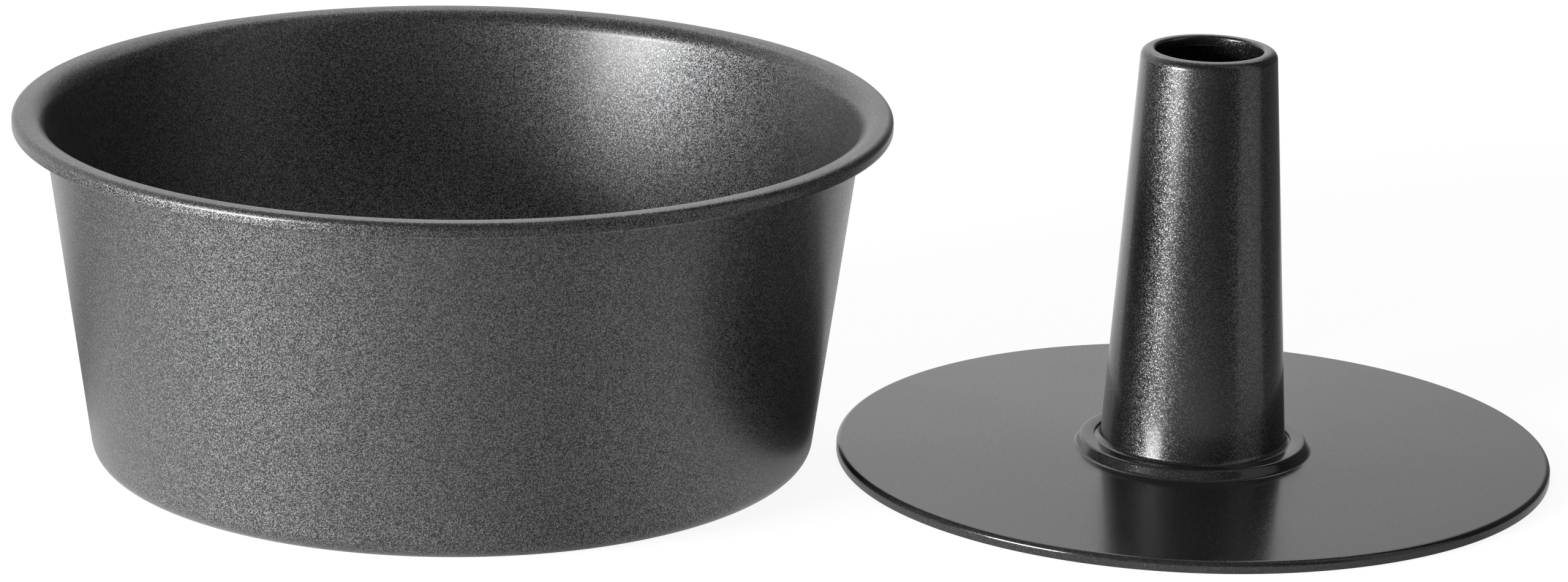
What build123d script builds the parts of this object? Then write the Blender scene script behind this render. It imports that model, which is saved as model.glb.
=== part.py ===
from build123d import *
from math import atan2, hypot, pi, sin, tan
import os

# A two-piece tube pan for angel food cake, as a set on the table: the open-bottomed pan
# shell, and beside it the lift-out insert, a base disc with a centre tube clinched into it.
# Lengths are in millimetres. Z is up, z = 0 is the table, and the origin is the middle of
# the set's footprint. The shell stands towards -X and the insert towards +X.

# Pan shell, drawn from one sheet
shell_sheet = 0.6
shell_height = 102.9
rim_radius = 127.0
wall_top_radius = 118.6
wall_foot_radius = 104.9
foot_bend = 5.8
base_opening_radius = 92.0

# Rolled rim of the shell, each bend measured on its outer face
rim_flare_bend = 6.0
rim_shoulder_bend = 2.0
rim_drop = 4.6
rim_return_bend = 1.0
rim_return = 2.6

# Base disc of the insert, with its turned-down edge and its raised collar
disc_sheet = 0.6
disc_edge_height = 3.5
disc_edge_bend = 1.6
collar_height = 3.0
collar_top_radius = 33.2
collar_foot_radius = 34.4
collar_foot_bend = 1.2
collar_shoulder_bend = 1.0

# Centre tube of the insert, a cone with a rolled-in mouth and a clinched foot flange
tube_sheet = 0.6
insert_height = 123.9
tube_top_radius = 19.7
tube_foot_radius = 27.2
tube_flare_bend = 1.6
mouth_radius = 15.6
mouth_depth = 3.0
mouth_shoulder_bend = 2.6
mouth_lip_bend = 1.0
flange_depth = 2.2
flange_bend = 1.0

# Fits between the pieces, and how the set stands on the table
seat_clearance = 0.1
clinch_clearance = 0.1
collar_hole_clearance = 0.1
standing_gap = 7.8
insert_set_back = 4.1

# Share of a run between two bends that the bends at its ends may take up
bend_room_share = 0.98


def corner_turn(before, corner, after):
    """Angle in radians by which a path turns at one of its corners."""
    heading_in = atan2(corner[1] - before[1], corner[0] - before[0])
    heading_out = atan2(after[1] - corner[1], after[0] - corner[0])
    return abs((heading_out - heading_in + pi) % (2 * pi) - pi)


def bends_that_fit(path, bends):
    """Bend radii of a path, each no larger than the straight runs beside it leave room for."""
    runs = [hypot(b[0] - a[0], b[1] - a[1]) for a, b in zip(path, path[1:])]
    slopes = [tan(corner_turn(*path[i:i + 3]) / 2) for i in range(len(bends))]
    wanted = [0] + [bend * slope for bend, slope in zip(bends, slopes)] + [0]
    fits = [min(1, bend_room_share * run / (a + b))
            for run, a, b in zip(runs, wanted, wanted[1:])]
    return [bend * min(fits[i], fits[i + 1]) for i, bend in enumerate(bends)]


def formed_sheet(path, bends, sheet):
    """Sheet metal turned about Z: the section follows the middle of the sheet from the
    axis outwards or upwards, as points of radius and height with a bend at each corner."""
    middle = FilletPolyline(*path, radius=bends_that_fit(path, bends))
    section = trace(middle, line_width=sheet)
    return revolve(Plane.XZ * section, axis=Axis.Z)


def wall_radius(height):
    """Radius of the shell wall's outer face at a height above the table."""
    return wall_foot_radius + (wall_top_radius - wall_foot_radius) * height / shell_height


def wall_shift(depth):
    """How far inwards, level, a surface at a depth below the wall's outer face lies."""
    return depth * hypot(1, (wall_top_radius - wall_foot_radius) / shell_height)


def seated_disc_radius():
    """Radius of the disc that seats in the shell where the wall meets the foot bend."""
    taper = atan2(wall_top_radius - wall_foot_radius, shell_height)
    seat_height = foot_bend * (1 - sin(taper))
    return wall_radius(seat_height) - wall_shift(shell_sheet) - seat_clearance


def tube_radius(height):
    """Radius of the tube's outer face, from its foot at the flange to the mouth's top."""
    foot = flange_top()
    rise_share = (height - foot) / (insert_height - foot)
    return tube_foot_radius + (tube_top_radius - tube_foot_radius) * rise_share


def tube_shift(depth):
    """How far inwards, level, a surface at a depth below the tube's outer face lies."""
    rise = insert_height - flange_top()
    return depth * hypot(1, (tube_foot_radius - tube_top_radius) / rise)


def flange_top():
    """Height of the face where the tube's flange bears against the collar from below."""
    return disc_edge_height + collar_height - disc_sheet


def make_pan_shell():
    """Tapered wall, rolled rim, and a ledge turned inwards round the open base."""
    half = shell_sheet / 2
    crown = shell_height - half
    underside = shell_height - rim_drop + half
    path = [
        (base_opening_radius, half),
        (wall_radius(half) - wall_shift(half), half),
        (wall_radius(crown) - wall_shift(half), crown),
        (rim_radius - half, crown),
        (rim_radius - half, underside),
        (rim_radius - rim_return, underside),
    ]
    bends = [foot_bend - half, rim_flare_bend - half, rim_shoulder_bend - half,
             rim_return_bend - half]
    return formed_sheet(path, bends, shell_sheet)


def make_base_disc():
    """Flat disc with its edge turned down to stand on, and a raised collar for the tube."""
    half = disc_sheet / 2
    plate = disc_edge_height - half
    collar_top = disc_edge_height + collar_height - half
    hole = tube_foot_radius + tube_flare_bend + collar_hole_clearance
    path = [
        (hole, collar_top),
        (collar_top_radius - half, collar_top),
        (collar_foot_radius - half, plate),
        (seated_disc_radius() - half, plate),
        (seated_disc_radius() - half, 0),
    ]
    bends = [collar_shoulder_bend - half, collar_foot_bend + half, disc_edge_bend - half]
    return formed_sheet(path, bends, disc_sheet)


def make_centre_tube():
    """Cone open at both ends: its foot flares into a flange whose edge is turned down
    inside the collar, and its mouth is rolled inwards into a short straight lip."""
    half = tube_sheet / 2
    flange = flange_top() - half
    crown = insert_height - half
    flange_edge = collar_top_radius - disc_sheet - clinch_clearance - half
    path = [
        (flange_edge, flange_top() - flange_depth),
        (flange_edge, flange),
        (tube_radius(flange) - tube_shift(half), flange),
        (tube_radius(crown) - tube_shift(half), crown),
        (mouth_radius + half, crown),
        (mouth_radius + half, insert_height - mouth_depth),
    ]
    bends = [flange_bend - half, tube_flare_bend + half, mouth_shoulder_bend - half,
             mouth_lip_bend - half]
    return formed_sheet(path, bends, tube_sheet)


# Places of the two axes, with the origin in the middle of the set's footprint
axis_spacing = wall_foot_radius + standing_gap + seated_disc_radius()
set_length = rim_radius + axis_spacing + seated_disc_radius()
shell_place = Location((rim_radius - set_length / 2, 0, 0))
insert_place = Location((set_length / 2 - seated_disc_radius(), insert_set_back, 0))

parts = {
    "pan_shell": shell_place * make_pan_shell(),
    "base_disc": insert_place * make_base_disc(),
    "centre_tube": insert_place * make_centre_tube(),
}

os.makedirs("parts", exist_ok=True)
for node, shape in parts.items():
    export_step(shape, f"parts/{node}.step")
    print(node, "volume", round(shape.volume, 1), "box", shape.bounding_box())
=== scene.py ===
import logging
import math
from dataclasses import dataclass
from enum import Enum

import bpy
import numpy as np
from mathutils import Matrix, Vector


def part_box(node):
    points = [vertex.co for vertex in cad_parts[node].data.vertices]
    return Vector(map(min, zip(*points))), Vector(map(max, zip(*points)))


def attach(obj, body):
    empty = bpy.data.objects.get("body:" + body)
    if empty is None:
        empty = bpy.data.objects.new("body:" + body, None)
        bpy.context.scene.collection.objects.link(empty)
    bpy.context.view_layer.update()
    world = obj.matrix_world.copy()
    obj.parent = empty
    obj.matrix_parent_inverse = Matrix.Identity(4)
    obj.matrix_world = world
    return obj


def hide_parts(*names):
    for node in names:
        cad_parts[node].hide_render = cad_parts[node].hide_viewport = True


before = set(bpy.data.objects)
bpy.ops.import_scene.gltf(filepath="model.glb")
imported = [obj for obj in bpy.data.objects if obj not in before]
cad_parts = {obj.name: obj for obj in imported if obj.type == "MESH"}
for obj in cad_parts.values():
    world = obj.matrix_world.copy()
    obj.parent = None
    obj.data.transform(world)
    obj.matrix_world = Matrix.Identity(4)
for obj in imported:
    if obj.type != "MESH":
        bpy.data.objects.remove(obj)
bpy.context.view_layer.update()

# A two-piece tube pan for angel food cake: the open-bottomed shell, and the insert of base
# disc and centre tube that stands beside it. Lengths are in metres, in the model's frame.

MM = 0.001
AROUND = 384
ARC_STEP = math.radians(5)
ARC_POINTS_LEAST = 3
CUT_EDGE_POINTS = 7
COOL_CAST = (0.985, 0.99, 1.01)
WHITE = (1.0, 1.0, 1.0, 1.0)
MIX_COLOUR_INPUTS = (6, 7)
MIX_COLOUR_OUTPUT = 2

log = logging.getLogger("cake_pan")


class Body(Enum):
    """The two bodies that the pieces ride on."""

    SHELL = "shell"
    INSERT = "insert"


class Ray(Enum):
    """Kinds of ray that the backdrop tells apart."""

    CAMERA = "Is Camera Ray"
    GLOSSY = "Is Glossy Ray"
    TRANSMISSION = "Is Transmission Ray"


def unit(vector: np.ndarray) -> np.ndarray:
    """Scale a plane vector to length one."""
    return vector / np.hypot(*vector)


def turned_by(vectors: np.ndarray, angles: np.ndarray) -> np.ndarray:
    """Turn plane vectors anticlockwise.

    Args:
        vectors: one vector, or one for each angle.
        angles: the angles in radians.

    Returns:
        One vector for each angle.
    """
    cosine, sine = np.cos(angles), np.sin(angles)
    x, y = np.broadcast_arrays(vectors[..., 0], vectors[..., 1])
    return np.stack([cosine * x - sine * y, sine * x + cosine * y], axis=-1)


@dataclass(frozen=True)
class SheetSection:
    """Section of a formed sheet that is turned about an upright axis.

    The middle of the sheet runs through corners of radius and height, with a bend at each
    inner corner, and both faces lie half the sheet's thickness from it.
    """

    corners: tuple[tuple[float, float], ...]
    bends: tuple[float, ...]
    sheet: float

    def middle(self) -> tuple[np.ndarray, np.ndarray]:
        """Follow the middle of the sheet.

        Each bend is an arc tangent to the two runs beside it: it starts its radius times
        the tangent of half the turn before the corner, and turns about the point one radius
        to the side.

        Returns:
            The points, and the direction of travel at each of them.
        """
        corners = np.array(self.corners)
        heading = unit(corners[1] - corners[0])
        points, headings = [corners[:1]], [heading[None]]
        for corner, after, bend in zip(corners[1:], corners[2:], self.bends):
            leaving = unit(after - corner)
            turn = math.atan2(heading[0] * leaving[1] - heading[1] * leaving[0], heading @ leaving)
            start = corner - heading * bend * math.tan(abs(turn) / 2)
            side = turned_by(heading, np.array(math.copysign(math.pi / 2, turn)))
            angles = np.linspace(0, turn, max(ARC_POINTS_LEAST, 1 + round(abs(turn) / ARC_STEP)))
            points.append(start + side * bend - turned_by(side * bend, angles))
            headings.append(turned_by(heading, angles))
            heading = leaving
        points.append(corners[-1:])
        headings.append(heading[None])
        return np.concatenate(points), np.concatenate(headings)

    def outline(self) -> np.ndarray:
        """Walk round the section: out along one face, round the cut edge, back along the
        other face, and round the first cut edge. Each cut edge is a half circle.

        Returns:
            Points of radius and height, anticlockwise, with the first one not repeated.
        """
        points, headings = self.middle()
        half = self.sheet / 2
        left = turned_by(headings, np.array(math.pi / 2)) * half
        sweep = np.linspace(math.pi / 2, -math.pi / 2, CUT_EDGE_POINTS)
        far_end = points[-1] - headings[-1] * half + turned_by(headings[-1] * half, sweep[1:-1])
        near_end = points[0] + headings[0] * half - turned_by(headings[0] * half, sweep[1:-1])
        upper, lower = points + left, points - left
        for face in (upper, lower):
            face[-1] -= headings[-1] * half
            face[0] += headings[0] * half
        loop = np.concatenate([upper, far_end, lower[::-1], near_end])
        after = np.roll(loop, -1, axis=0)
        area = np.sum(loop[:, 0] * after[:, 1] - after[:, 0] * loop[:, 1])
        return loop if area > 0 else loop[::-1]


def turned_piece(name: str, outline: np.ndarray, axis: Vector) -> bpy.types.Object:
    """Turn a closed outline about an upright axis into one closed, smooth surface.

    A point at angle u and outline point (r, z) lies at the axis plus (r cos u, r sin u, z).

    Args:
        name: name of the new piece.
        outline: points of radius and height, anticlockwise.
        axis: a point on the axis.

    Returns:
        The piece, linked to the scene, with its object at the origin.
    """
    angles = np.arange(AROUND) * 2 * math.pi / AROUND
    radius, height = outline[:, 0], outline[:, 1]
    vertices = np.stack([
        axis.x + np.cos(angles)[:, None] * radius,
        axis.y + np.sin(angles)[:, None] * radius,
        np.broadcast_to(height, (AROUND, len(outline))),
    ], axis=-1).reshape(-1, 3)
    column, row = np.meshgrid(np.arange(AROUND), np.arange(len(outline)), indexing="ij")
    next_column, next_row = (column + 1) % AROUND, (row + 1) % len(outline)
    quads = np.stack([
        column * len(outline) + row,
        next_column * len(outline) + row,
        next_column * len(outline) + next_row,
        column * len(outline) + next_row,
    ], axis=-1).reshape(-1, 4)
    mesh = bpy.data.meshes.new(name)
    mesh.vertices.add(len(vertices))
    mesh.vertices.foreach_set("co", vertices.ravel())
    mesh.loops.add(quads.size)
    mesh.loops.foreach_set("vertex_index", quads.ravel())
    mesh.polygons.add(len(quads))
    mesh.polygons.foreach_set("loop_start", np.arange(0, quads.size, quads.shape[1]))
    mesh.polygons.foreach_set("use_smooth", np.ones(len(quads), dtype=bool))
    mesh.update(calc_edges=True)
    mesh.validate()
    piece = bpy.data.objects.new(name, mesh)
    bpy.context.scene.collection.objects.link(piece)
    return piece


def node_axis(node: str) -> Vector:
    """Foot of the upright axis of a turned node, taken from its box in the frame."""
    low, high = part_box(node)
    return Vector(((low.x + high.x) / 2, (low.y + high.y) / 2, 0))


def node_reach(node: str) -> float:
    """Largest radius of a turned node, taken from its box in the frame."""
    low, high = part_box(node)
    return (high.y - low.y) / 2


class NodeTree:
    """A small helper that adds shader nodes and joins them."""

    def __init__(self, tree: bpy.types.NodeTree) -> None:
        """Take an empty node tree to fill."""
        self.tree = tree

    def add(self, kind: str, **settings: object) -> bpy.types.Node:
        """Add a node.

        Args:
            kind: Blender's type name of the node.
            settings: attributes of the node, such as its operation.

        Returns:
            The new node.
        """
        node = self.tree.nodes.new(kind)
        for name, value in settings.items():
            setattr(node, name, value)
        return node

    def feed(self, socket: bpy.types.NodeSocket, source: object) -> None:
        """Join an output to a socket, or set the socket's own value.

        Args:
            socket: the input socket.
            source: an output socket, or a value for the input.
        """
        if isinstance(source, bpy.types.NodeSocket):
            self.tree.links.new(source, socket)
        else:
            socket.default_value = source

    def math(self, operation: str, *values: object) -> bpy.types.NodeSocket:
        """Add a Math node.

        Args:
            operation: what the node works out.
            values: an output socket or a number for each input in turn.

        Returns:
            The result's output.
        """
        node = self.add("ShaderNodeMath", operation=operation)
        for socket, value in zip(node.inputs, values):
            self.feed(socket, value)
        return node.outputs[0]

    def vector(self, operation: str, *values: object) -> bpy.types.NodeSocket:
        """Add a Vector Math node.

        Args:
            operation: what the node works out.
            values: an output socket or a value for each input in turn.

        Returns:
            The result's vector output.
        """
        node = self.add("ShaderNodeVectorMath", operation=operation)
        for socket, value in zip(node.inputs, values):
            self.feed(socket, value)
        return node.outputs[0]

    def spread(self, value: object, low: float, high: float,
               to_low: float, to_high: float) -> bpy.types.NodeSocket:
        """Map a value from one range to another, held at the ends of the new range.

        Args:
            value: the value to map.
            low: start of the range it comes from.
            high: end of the range it comes from.
            to_low: what the start becomes.
            to_high: what the end becomes.

        Returns:
            The mapped value's output.
        """
        node = self.add("ShaderNodeMapRange", interpolation_type="SMOOTHSTEP")
        for socket, given in zip(node.inputs, (value, low, high, to_low, to_high)):
            self.feed(socket, given)
        return node.outputs[0]

    def mix(self, share: object, first: object, second: object) -> bpy.types.NodeSocket:
        """Mix two colours.

        Args:
            share: share of the second colour, from 0 to 1.
            first: the colour where the share is 0.
            second: the colour where the share is 1.

        Returns:
            The mixed colour's output.
        """
        node = self.add("ShaderNodeMix", data_type="RGBA")
        self.feed(node.inputs["Factor"], share)
        for place, given in zip(MIX_COLOUR_INPUTS, (first, second)):
            self.feed(node.inputs[place], given)
        return node.outputs[MIX_COLOUR_OUTPUT]


def grey(level: float) -> tuple[float, float, float, float]:
    """An opaque grey with a very slight cool cast, for the coatings and the floor."""
    return (*(level * share for share in COOL_CAST), 1.0)


def shader_group(name: str, inputs: tuple[str, ...],
                 outputs: dict[str, str]) -> bpy.types.ShaderNodeTree:
    """Make a shader node group that has its sockets and no nodes yet.

    Args:
        name: name of the group.
        inputs: names of the inputs, which all take a number.
        outputs: Blender's socket type for the name of each output.

    Returns:
        The group.
    """
    group = bpy.data.node_groups.new(name, "ShaderNodeTree")
    for socket in inputs:
        group.interface.new_socket(socket, in_out="INPUT", socket_type="NodeSocketFloat")
    for socket, kind in outputs.items():
        group.interface.new_socket(socket, in_out="OUTPUT", socket_type=kind)
    return group


def flake_group() -> bpy.types.ShaderNodeTree:
    """Make the group for metal flakes in a coating.

    Space is cut into random cells of a flake's size. Each cell where the surface passes is
    either bare coating or a flake, by its random number, and each flake tilts the normal its
    own way.

    Returns:
        A group with inputs Size, Coverage and Tilt, and outputs Mask, Shade and Normal.
    """
    group = shader_group("metal_flakes", ("Size", "Coverage", "Tilt"), {
        "Mask": "NodeSocketFloat", "Shade": "NodeSocketFloat", "Normal": "NodeSocketVector"})
    tree = NodeTree(group)
    given = tree.add("NodeGroupInput").outputs
    place = tree.add("ShaderNodeTexCoord").outputs["Object"]
    cells = tree.add("ShaderNodeTexVoronoi", voronoi_dimensions="3D", feature="F1")
    tree.feed(cells.inputs["Vector"], place)
    tree.feed(cells.inputs["Scale"], tree.math("DIVIDE", 1.0, given["Size"]))
    chance = tree.add("ShaderNodeSeparateColor")
    tree.feed(chance.inputs[0], cells.outputs["Color"])
    bare = tree.math("SUBTRACT", 1.0, given["Coverage"])
    mask = tree.math("GREATER_THAN", chance.outputs[0], bare)
    centred = tree.vector("SUBTRACT", cells.outputs["Color"], (0.5, 0.5, 0.5))
    tilt = tree.vector("SCALE", centred)
    tree.feed(tilt.node.inputs["Scale"], tree.math("MULTIPLY", given["Tilt"], mask))
    facing = tree.add("ShaderNodeNewGeometry").outputs["Normal"]
    normal = tree.vector("NORMALIZE", tree.vector("ADD", facing, tilt))
    out = tree.add("NodeGroupOutput").inputs
    tree.feed(out["Mask"], mask)
    tree.feed(out["Shade"], chance.outputs[2])
    tree.feed(out["Normal"], normal)
    return group


def spray_group() -> bpy.types.ShaderNodeTree:
    """Make the group for the unevenness of a sprayed and baked coating.

    Height is orange peel, from two sizes of noise. Bloom is a slow drift over the piece of
    how matt the coating is.

    Returns:
        A group with inputs Peel Size and Bloom Size, and outputs Height and Bloom.
    """
    group = shader_group("sprayed_coating", ("Peel Size", "Bloom Size"),
                         {"Height": "NodeSocketFloat", "Bloom": "NodeSocketFloat"})
    tree = NodeTree(group)
    given = tree.add("NodeGroupInput").outputs
    place = tree.add("ShaderNodeTexCoord").outputs["Object"]
    noises = []
    for size, detail in (("Peel Size", 3.0), ("Bloom Size", 2.0)):
        noise = tree.add("ShaderNodeTexNoise", noise_dimensions="3D")
        tree.feed(noise.inputs["Vector"], place)
        tree.feed(noise.inputs["Scale"], tree.math("DIVIDE", 1.0, given[size]))
        tree.feed(noise.inputs["Detail"], detail)
        noises.append(noise.outputs["Fac"])
    out = tree.add("NodeGroupOutput").inputs
    tree.feed(out["Height"], noises[0])
    tree.feed(out["Bloom"], noises[1])
    return group


@dataclass(frozen=True)
class CoatedSteel:
    """Charcoal non-stick coating on steel: a dark binder with fine metal flakes in it."""

    name: str
    slot: str
    binder: float
    flake: float
    coverage: float
    tilt: float
    binder_roughness: float
    flake_roughness: float
    flake_metal: float
    peel_depth: float
    coat: float
    coat_roughness: float
    flake_size: float = 0.22 * MM
    flake_shades: tuple[float, float] = (0.55, 1.45)
    bloom_size: float = 50 * MM
    bloom_range: tuple[float, float] = (0.3, 0.7)
    bloom_drift: float = 0.03
    refraction: float = 1.5
    peel_size: float = 0.9 * MM

    def material(self, flakes: bpy.types.ShaderNodeTree,
                 spray: bpy.types.ShaderNodeTree) -> bpy.types.Material:
        """Build the material.

        Args:
            flakes: the group of metal flakes.
            spray: the group of the sprayed coating.

        Returns:
            The material, named after the finish.
        """
        material = bpy.data.materials.new(self.name)
        material.use_nodes = True
        tree = NodeTree(material.node_tree)
        shader = material.node_tree.nodes["Principled BSDF"].inputs
        flake = tree.add("ShaderNodeGroup", node_tree=flakes)
        tree.feed(flake.inputs["Size"], self.flake_size)
        tree.feed(flake.inputs["Coverage"], self.coverage)
        tree.feed(flake.inputs["Tilt"], self.tilt)
        sprayed = tree.add("ShaderNodeGroup", node_tree=spray)
        tree.feed(sprayed.inputs["Peel Size"], self.peel_size)
        tree.feed(sprayed.inputs["Bloom Size"], self.bloom_size)
        mask, shade = flake.outputs["Mask"], flake.outputs["Shade"]
        dull, bright = (grey(self.flake * share) for share in self.flake_shades)
        metal = tree.mix(shade, dull, bright)
        tree.feed(shader["Base Color"], tree.mix(mask, grey(self.binder), metal))
        tree.feed(shader["Metallic"], tree.math("MULTIPLY", mask, self.flake_metal))
        drift = tree.spread(sprayed.outputs["Bloom"], *self.bloom_range,
                            -self.bloom_drift, self.bloom_drift)
        rough = tree.spread(mask, 0.0, 1.0, self.binder_roughness, self.flake_roughness)
        tree.feed(shader["Roughness"], tree.math("ADD", rough, drift))
        peel = tree.add("ShaderNodeBump")
        tree.feed(peel.inputs["Height"], sprayed.outputs["Height"])
        tree.feed(peel.inputs["Distance"], self.peel_depth)
        tree.feed(peel.inputs["Strength"], 1.0)
        tree.feed(peel.inputs["Normal"], flake.outputs["Normal"])
        tree.feed(shader["Normal"], peel.outputs["Normal"])
        tree.feed(shader["IOR"], self.refraction)
        tree.feed(shader["Coat Weight"], self.coat)
        tree.feed(shader["Coat Roughness"], self.coat_roughness)
        return material


SHELL_COAT = CoatedSteel(
    name="shell_coating", slot="shell_coating", binder=0.02, flake=0.22, coverage=0.5,
    tilt=0.22, binder_roughness=0.32, flake_roughness=0.52, flake_metal=1.0,
    peel_depth=0.0015 * MM, coat=0.2, coat_roughness=0.2)
DISC_COAT = CoatedSteel(
    name="disc_coating", slot="disc_coating", binder=0.024, flake=0.07, coverage=0.3,
    tilt=0.08, binder_roughness=0.17, flake_roughness=0.22, flake_metal=0.3,
    peel_depth=0.001 * MM, coat=0.15, coat_roughness=0.12)
TUBE_COAT = CoatedSteel(
    name="tube_coating", slot="tube_coating", binder=0.015, flake=0.15, coverage=0.4,
    tilt=0.18, binder_roughness=0.26, flake_roughness=0.4, flake_metal=1.0,
    peel_depth=0.0012 * MM, coat=0.4, coat_roughness=0.1)


class TurnedPiece:
    """A formed sheet turned about its own axis, which stands for one node of the frame."""

    node: str
    body: Body
    coat: CoatedSteel

    def section(self) -> SheetSection:
        """Work out the section of the sheet."""
        raise NotImplementedError

    def build(self, material: bpy.types.Material) -> bpy.types.Object:
        """Make the piece, dress it and put it on its body.

        Args:
            material: the finish of the whole piece.

        Returns:
            The finished piece.
        """
        piece = turned_piece(self.node + "_skin", self.section().outline(), node_axis(self.node))
        piece.data.materials.append(material)
        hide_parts(self.node)
        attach(piece, self.body.value)
        log.info("%s: %d faces on body %s", piece.name, len(piece.data.polygons), self.body.value)
        return piece


@dataclass
class PanShell(TurnedPiece):
    """The open-bottomed shell: ledge, foot bend, tapered wall and rolled rim."""

    node: str = "pan_shell"
    body: Body = Body.SHELL
    coat: CoatedSteel = SHELL_COAT
    sheet: float = 0.6 * MM
    wall_top_radius: float = 118.6 * MM
    wall_foot_radius: float = 104.9 * MM
    foot_bend: float = 5.8 * MM
    base_opening_radius: float = 92.0 * MM
    rim_flare_bend: float = 6.0 * MM
    rim_shoulder_bend: float = 2.0 * MM
    rim_drop: float = 4.6 * MM
    rim_return_bend: float = 1.0 * MM
    rim_return: float = 2.6 * MM

    def section(self) -> SheetSection:
        """Work out the section, from the ledge's edge to the rim's cut edge.

        Returns:
            The section, with the rim's radius and the height taken from the frame.
        """
        half = self.sheet / 2
        rim = node_reach(self.node)
        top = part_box(self.node)[1].z
        slope = (self.wall_top_radius - self.wall_foot_radius) / top
        inset = half * math.hypot(1, slope)
        crown, underside = top - half, top - self.rim_drop + half
        return SheetSection(
            corners=(
                (self.base_opening_radius, half),
                (self.wall_foot_radius + slope * half - inset, half),
                (self.wall_foot_radius + slope * crown - inset, crown),
                (rim - half, crown),
                (rim - half, underside),
                (rim - self.rim_return, underside),
            ),
            bends=(self.foot_bend - half, self.rim_flare_bend - half,
                   self.rim_shoulder_bend - half, self.rim_return_bend - half),
            sheet=self.sheet)


@dataclass
class BaseDisc(TurnedPiece):
    """The insert's disc, with its turned-down edge and its raised collar."""

    node: str = "base_disc"
    body: Body = Body.INSERT
    coat: CoatedSteel = DISC_COAT
    sheet: float = 0.6 * MM
    edge_height: float = 3.5 * MM
    edge_bend: float = 1.6 * MM
    hole_radius: float = 28.9 * MM
    collar_top_radius: float = 33.2 * MM
    collar_foot_radius: float = 34.4 * MM
    collar_foot_bend: float = 1.2 * MM
    collar_shoulder_bend: float = 1.0 * MM

    def section(self) -> SheetSection:
        """Work out the section, from the hole's edge to the bottom of the turned edge.

        Returns:
            The section, with the disc's radius and collar height taken from the frame.
        """
        half = self.sheet / 2
        rim = node_reach(self.node)
        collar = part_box(self.node)[1].z - half
        plate = self.edge_height - half
        return SheetSection(
            corners=(
                (self.hole_radius, collar),
                (self.collar_top_radius - half, collar),
                (self.collar_foot_radius - half, plate),
                (rim - half, plate),
                (rim - half, 0.0),
            ),
            bends=(self.collar_shoulder_bend - half, self.collar_foot_bend + half,
                   self.edge_bend - half),
            sheet=self.sheet)


@dataclass
class CentreTube(TurnedPiece):
    """The insert's tube: clinched flange, flared foot, cone and rolled-in mouth."""

    node: str = "centre_tube"
    body: Body = Body.INSERT
    coat: CoatedSteel = TUBE_COAT
    sheet: float = 0.6 * MM
    flange_top: float = 5.9 * MM
    foot_radius: float = 27.2 * MM
    top_radius: float = 19.7 * MM
    flare_bend: float = 1.6 * MM
    flange_bend: float = 1.0 * MM
    mouth_radius: float = 15.6 * MM
    mouth_depth: float = 3.0 * MM
    mouth_shoulder_bend: float = 2.6 * MM
    mouth_lip_bend: float = 1.0 * MM

    def section(self) -> SheetSection:
        """Work out the section, from the flange's turned edge to the lip in the mouth.

        Returns:
            The section, with the flange's radius and both heights taken from the frame.
        """
        half = self.sheet / 2
        low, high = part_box(self.node)
        flange, crown = self.flange_top - half, high.z - half
        slope = (self.top_radius - self.foot_radius) / (high.z - self.flange_top)
        inset = half * math.hypot(1, slope)
        edge = node_reach(self.node) - half
        return SheetSection(
            corners=(
                (edge, low.z),
                (edge, flange),
                (self.foot_radius - slope * half - inset, flange),
                (self.top_radius - slope * half - inset, crown),
                (self.mouth_radius + half, crown),
                (self.mouth_radius + half, high.z - self.mouth_depth),
            ),
            bends=(self.flange_bend - half, self.flare_bend + half,
                   self.mouth_shoulder_bend - half, self.mouth_lip_bend - half),
            sheet=self.sheet)


@dataclass(frozen=True)
class SoftBox:
    """A studio soft box: a rectangular lamp that looks at the set."""

    name: str
    place: tuple[float, float, float]
    size: tuple[float, float]
    watts: float
    aim: tuple[float, float, float] = (0.0, 0.0, 0.05)

    def light(self) -> None:
        """Put the lamp in the scene, turned towards its aim."""
        lamp = bpy.data.lights.new(self.name, "AREA")
        lamp.shape = "RECTANGLE"
        lamp.size, lamp.size_y = self.size
        lamp.energy = self.watts
        holder = bpy.data.objects.new(self.name, lamp)
        bpy.context.scene.collection.objects.link(holder)
        view = Vector(self.aim) - Vector(self.place)
        turn = view.to_track_quat("-Z", "Y").to_matrix().to_4x4()
        holder.matrix_world = Matrix.Translation(self.place) @ turn


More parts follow.
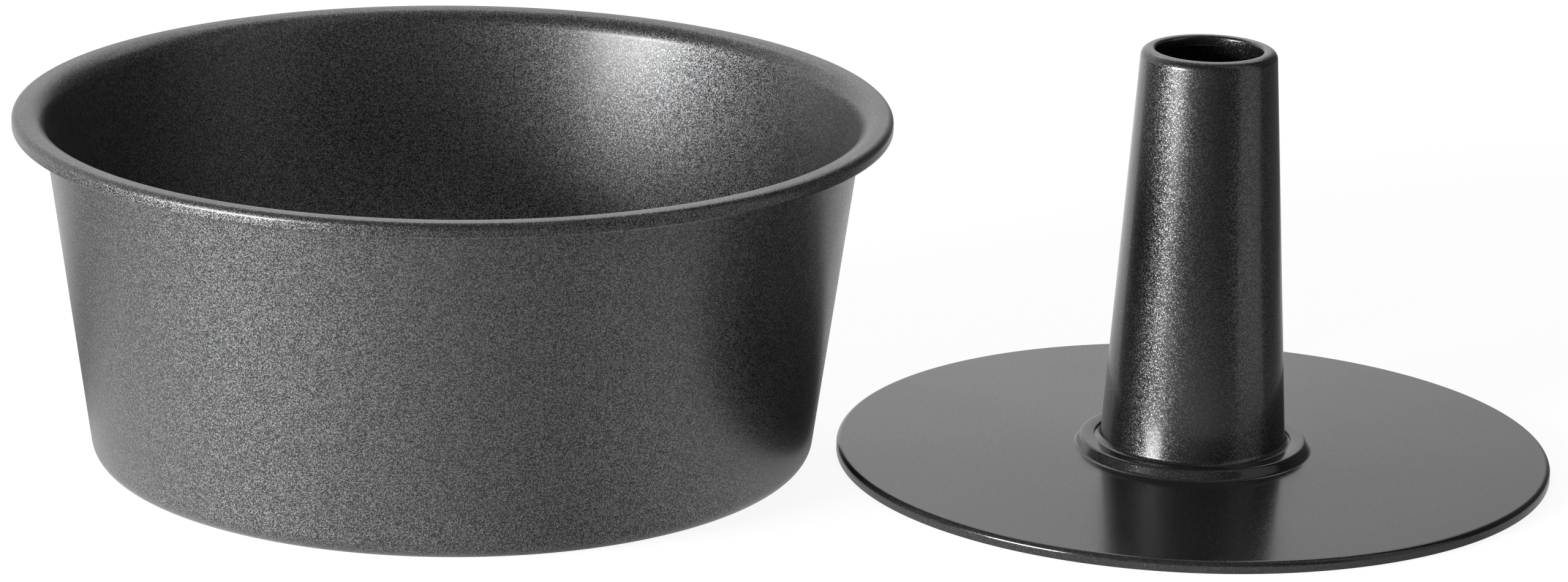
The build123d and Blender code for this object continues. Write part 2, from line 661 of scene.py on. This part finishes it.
@dataclass(frozen=True)
class Studio:
    """The pale studio: floor, backdrop light, soft boxes and camera.

    The camera sees white all round. Reflections see white behind the set, a dim room on the
    camera's side, a pale panel at the right front, and a ring of light painted on the floor
    round the shell. None of it is brighter than white.
    """

    floor_size: float = 6.0
    floor_drop: float = 0.02 * MM
    floor_albedo: float = 0.35
    floor_roughness: float = 0.9
    floor_glow: float = 0.9
    # Degrees round the shell, from the camera's side to the right, and the level of the light
    # painted on the floor there
    ring: tuple[tuple[float, float], ...] = (
        (-180, 1.0), (-158, 0.64), (-132, 0.05), (-108, 0.08), (-84, 0.8), (-58, 1.0),
        (-34, 1.0), (-10, 0.72), (22, 0.38), (62, 0.74), (95, 0.48), (130, 0.8), (180, 1.0))
    ring_reach: tuple[float, float] = (0.26, 0.46)
    far_glow: float = 0.03
    behind_edge: tuple[float, float] = (0.03, 0.22)
    painted_shade_edge: tuple[float, float] = (0.14, 0.34)
    painted_shade_share: float = 0.05
    panel_way: float = math.radians(69.5)
    panel_half: float = math.radians(20)
    panel_soft: float = 0.012
    panel_level: float = 0.5
    back_edge: tuple[float, float] = (-0.1, 0.5)
    room_level: float = 0.1
    ceiling_edge: tuple[float, float] = (0.45, 0.85)
    ceiling_share: float = 0.55
    right_edge: tuple[float, float] = (-0.02, 0.5)
    right_share: float = 0.1
    ambient: float = 0.4
    lens_mm: float = 124.608
    sensor_mm: float = 36.0
    view_end: float = 50.0
    camera_place: tuple[float, float, float] = (-0.001415, -1.51982, 0.49416)
    pitch: float = math.radians(16.31392)
    roll: float = math.radians(1.26286)
    boxes: tuple[SoftBox, ...] = (
        SoftBox("key_left", (-1.67, -1.23, 0.37), (0.95, 0.6), 56.0),
        SoftBox("top_back", (0.1, 1.0, 1.1), (1.4, 0.4), 3.0),
    )

    def seen(self, tree: NodeTree, *kinds: Ray) -> bpy.types.NodeSocket:
        """Tell whether a ray is of one of some kinds.

        Args:
            tree: the node tree to build in.
            kinds: the kinds of ray.

        Returns:
            An output that is 1 for those rays and 0 for others.
        """
        path = tree.add("ShaderNodeLightPath").outputs
        total = path[kinds[0].value]
        for kind in kinds[1:]:
            total = tree.math("MAXIMUM", total, path[kind.value])
        return total

    def painted_light_ring(self, tree: NodeTree, place: bpy.types.Node) -> bpy.types.NodeSocket:
        """Level of the ring of light painted on the floor near the shell, as reflections see it:
        by the direction round the shell, with the camera's side in the middle of the ramp, and
        falling off with distance.

        Args:
            tree: the node tree to build in.
            place: a node with the floor's X and Y.

        Returns:
            The output of the level.
        """
        axis = node_axis("pan_shell")
        across = tree.math("SUBTRACT", place.outputs["X"], axis.x)
        ahead = tree.math("SUBTRACT", axis.y, place.outputs["Y"])
        round_it = tree.math("ARCTAN2", across, ahead)
        ramp = tree.add("ShaderNodeValToRGB")
        tree.feed(ramp.inputs[0], tree.math("ADD", tree.math("DIVIDE", round_it, math.tau), 0.5))
        ramp.color_ramp.interpolation = "EASE"
        stops = ramp.color_ramp.elements
        while len(stops) < len(self.ring):
            stops.new(0.5)
        for stop, (degrees, level) in zip(stops, self.ring):
            stop.position = degrees / 360 + 0.5
            stop.color = (level, level, level, 1.0)
        reach = tree.math("SQRT", tree.math("ADD", tree.math("MULTIPLY", across, across),
                                            tree.math("MULTIPLY", ahead, ahead)))
        near = tree.spread(reach, *self.ring_reach, 1.0, self.far_glow)
        return tree.math("MULTIPLY", ramp.outputs[0], near)

    def panel(self, tree: NodeTree, across: bpy.types.NodeSocket,
              back: bpy.types.NodeSocket) -> bpy.types.NodeSocket:
        """Level of the pale panel at the right front, a wedge of directions seen from the
        insert: full where the direction lies within the panel's half angle of its middle.

        Args:
            tree: the node tree to build in.
            across: the direction's part to the right.
            back: the direction's part to the back.

        Returns:
            The output of the panel's level.
        """
        way = tree.add("ShaderNodeCombineXYZ")
        tree.feed(way.inputs["X"], across)
        tree.feed(way.inputs["Y"], back)
        middle = (math.sin(self.panel_way), -math.cos(self.panel_way), 0.0)
        along = tree.vector("DOT_PRODUCT", tree.vector("NORMALIZE", way.outputs[0]), middle)
        cosine = along.node.outputs["Value"]
        edge = math.cos(self.panel_half)
        return tree.spread(cosine, edge - self.panel_soft, edge + self.panel_soft,
                           0.0, self.panel_level)

    def backdrop(self) -> None:
        """White all round for the camera. For reflections it is white behind the set, lower
        to the right and overhead, and a dim room with one pale panel on the camera's side.
        Diffuse light gets a share of the same."""
        world = bpy.data.worlds.new("backdrop")
        world.use_nodes = True
        bpy.context.scene.world = world
        tree = NodeTree(world.node_tree)
        way = tree.add("ShaderNodeSeparateXYZ")
        tree.feed(way.inputs[0], tree.add("ShaderNodeTexCoord").outputs["Generated"])
        room = tree.spread(way.outputs["Y"], *self.back_edge, self.room_level, 1.0)
        side = tree.spread(way.outputs["X"], *self.right_edge, 1.0, self.right_share)
        overhead = tree.spread(way.outputs["Z"], *self.ceiling_edge, 1.0, self.ceiling_share)
        room = tree.math("MULTIPLY", tree.math("MULTIPLY", room, side), overhead)
        room = tree.math("MAXIMUM", room, self.panel(tree, way.outputs["X"], way.outputs["Y"]))
        mirrored = self.seen(tree, Ray.GLOSSY, Ray.TRANSMISSION)
        share = tree.spread(mirrored, 0.0, 1.0, self.ambient, 1.0)
        level = tree.math("MULTIPLY", room, share)
        level = tree.math("MAXIMUM", level, self.seen(tree, Ray.CAMERA))
        sky = world.node_tree.nodes["Background"].inputs
        tree.feed(sky["Color"], WHITE)
        tree.feed(sky["Strength"], level)

    def floor(self) -> None:
        """A pale floor that glows where the camera sees it, so that it meets the backdrop and
        still takes the soft shadow of the set. In reflections it is white behind the set, with a
        ring of light painted round the shell, the pale panel painted on it, and painted shade to
        the right."""
        half = self.floor_size / 2
        corners = [(-half, -half, -self.floor_drop), (half, -half, -self.floor_drop),
                   (half, half, -self.floor_drop), (-half, half, -self.floor_drop)]
        mesh = bpy.data.meshes.new("floor")
        mesh.from_pydata(corners, [], [(0, 1, 2, 3)])
        plane = bpy.data.objects.new("floor", mesh)
        bpy.context.scene.collection.objects.link(plane)
        material = bpy.data.materials.new("white_sweep")
        material.use_nodes = True
        tree = NodeTree(material.node_tree)
        shader = material.node_tree.nodes["Principled BSDF"].inputs
        tree.feed(shader["Base Color"], grey(self.floor_albedo))
        tree.feed(shader["Roughness"], self.floor_roughness)
        tree.feed(shader["Specular IOR Level"], 0.0)
        tree.feed(shader["Emission Color"], WHITE)
        place = tree.add("ShaderNodeSeparateXYZ")
        tree.feed(place.inputs[0], tree.add("ShaderNodeTexCoord").outputs["Object"])
        behind = tree.spread(place.outputs["Y"], *self.behind_edge, 0.0, 1.0)
        # Painted shade: the floor's glow in reflections darkens towards the right
        right = tree.spread(place.outputs["X"], *self.painted_shade_edge, 1.0, self.painted_shade_share)
        set_right = tree.math("SUBTRACT", place.outputs["X"], node_axis("centre_tube").x)
        # Painted light: a ring of light glowing on the floor round the shell, seen only in
        # reflections
        glow = tree.math("MAXIMUM", self.painted_light_ring(tree, place), behind)
        # Painted light: the pale panel also glows on the floor, seen only in reflections
        glow = tree.math("MAXIMUM", tree.math("MULTIPLY", glow, right),
                         self.panel(tree, set_right, place.outputs["Y"]))
        mirrored = tree.math("MULTIPLY", self.seen(tree, Ray.GLOSSY, Ray.TRANSMISSION), glow)
        shown = tree.math("MULTIPLY", self.seen(tree, Ray.CAMERA), self.floor_glow)
        tree.feed(shader["Emission Strength"], tree.math("MAXIMUM", mirrored, shown))
        mesh.materials.append(material)

    def camera(self) -> None:
        """Place the camera as the photograph was taken: level across but for a slight roll,
        and pitched down towards the set."""
        data = bpy.data.cameras.new("camera")
        data.sensor_width = self.sensor_mm
        data.lens = self.lens_mm
        data.clip_end = self.view_end
        holder = bpy.data.objects.new("camera", data)
        bpy.context.scene.collection.objects.link(holder)
        tilt = Matrix.Rotation(math.pi / 2 - self.pitch, 4, "X")
        turn = Matrix.Rotation(self.roll, 4, "Z")
        holder.matrix_world = Matrix.Translation(self.camera_place) @ tilt @ turn
        bpy.context.scene.camera = holder

    def build(self) -> None:
        """Build the whole studio."""
        bpy.context.scene.view_settings.view_transform = "Standard"
        self.backdrop()
        self.floor()
        self.camera()
        for box in self.boxes:
            box.light()
        log.info("studio: %d soft boxes", len(self.boxes))


def main() -> None:
    """Build the studio and the three pieces, in order, and note the two boxes."""
    logging.basicConfig(level=logging.INFO, format="%(name)s %(message)s")
    Studio().build()
    flakes, spray = flake_group(), spray_group()
    for piece in (PanShell(), BaseDisc(), CentreTube()):
        piece.build(piece.coat.material(flakes, spray))


if __name__ == "__main__":
    main()
